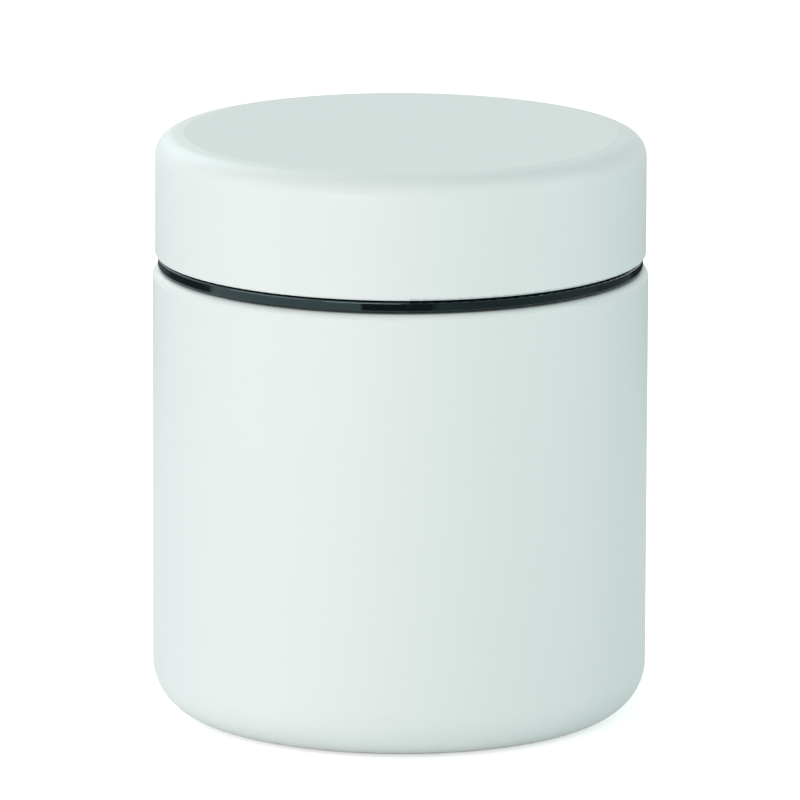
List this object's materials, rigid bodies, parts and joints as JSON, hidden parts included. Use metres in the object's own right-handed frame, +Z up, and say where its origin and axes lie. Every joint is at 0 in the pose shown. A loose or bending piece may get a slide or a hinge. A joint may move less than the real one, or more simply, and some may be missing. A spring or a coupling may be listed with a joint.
{
  "type": "insulated food jar",
  "caption": "Squat double-walled steel food jar with a screw-off insulated lid, white coated, with a black plastic ring between lid and jar.",
  "frame": {"origin": "centre of the foot ring, on the plane the jar stands on", "axes": "+Z up along the jar's axis; the picture is taken from the -Y side with +X to the right"},
  "size_m": [0.09, 0.09, 0.1067],
  "materials": {
    "white_coat": "matte",
    "liner_steel": "satin",
    "floor_steel": "satin",
    "disc_steel": "satin",
    "solder": "satin",
    "cover_steel": "satin",
    "foil": "gloss",
    "getter_pill": "matte",
    "clip_steel": "satin",
    "white_cap_coat": "matte",
    "black_plastic": "gloss",
    "silicone": "satin",
    "foam": "matte"
  },
  "bodies": {
    "jar": {"outer_shell": "white_coat", "inner_liner": "liner_steel", "inner_bottom": "floor_steel", "outer_bottom": "disc_steel", "vacuum_seal": "solder", "base_cover": "cover_steel", "heat_foil": "foil", "getter": "getter_pill", "getter_clip": "clip_steel"},
    "gasket": {"lid_gasket": "silicone"},
    "lid": {"lid_shell": "white_cap_coat", "lid_insert": "black_plastic", "lid_foam": "foam"}
  },
  "joints": [
    {"name": "lid_rise", "type": "slide", "parent": "jar", "child": "gasket", "axis": [0, 0, 1], "range_m": [0, 0.03]},
    {"name": "lid_turn", "type": "hinge", "parent": "gasket", "child": "lid", "pos_m": [0, 0, 0.095], "axis": [0, 0, 1], "range_deg": [0, 900]}
  ],
  "couplings": [
    {"joint": "lid_rise", "follows": "lid_turn", "m_per_rad": 0.0019099}
  ]
}
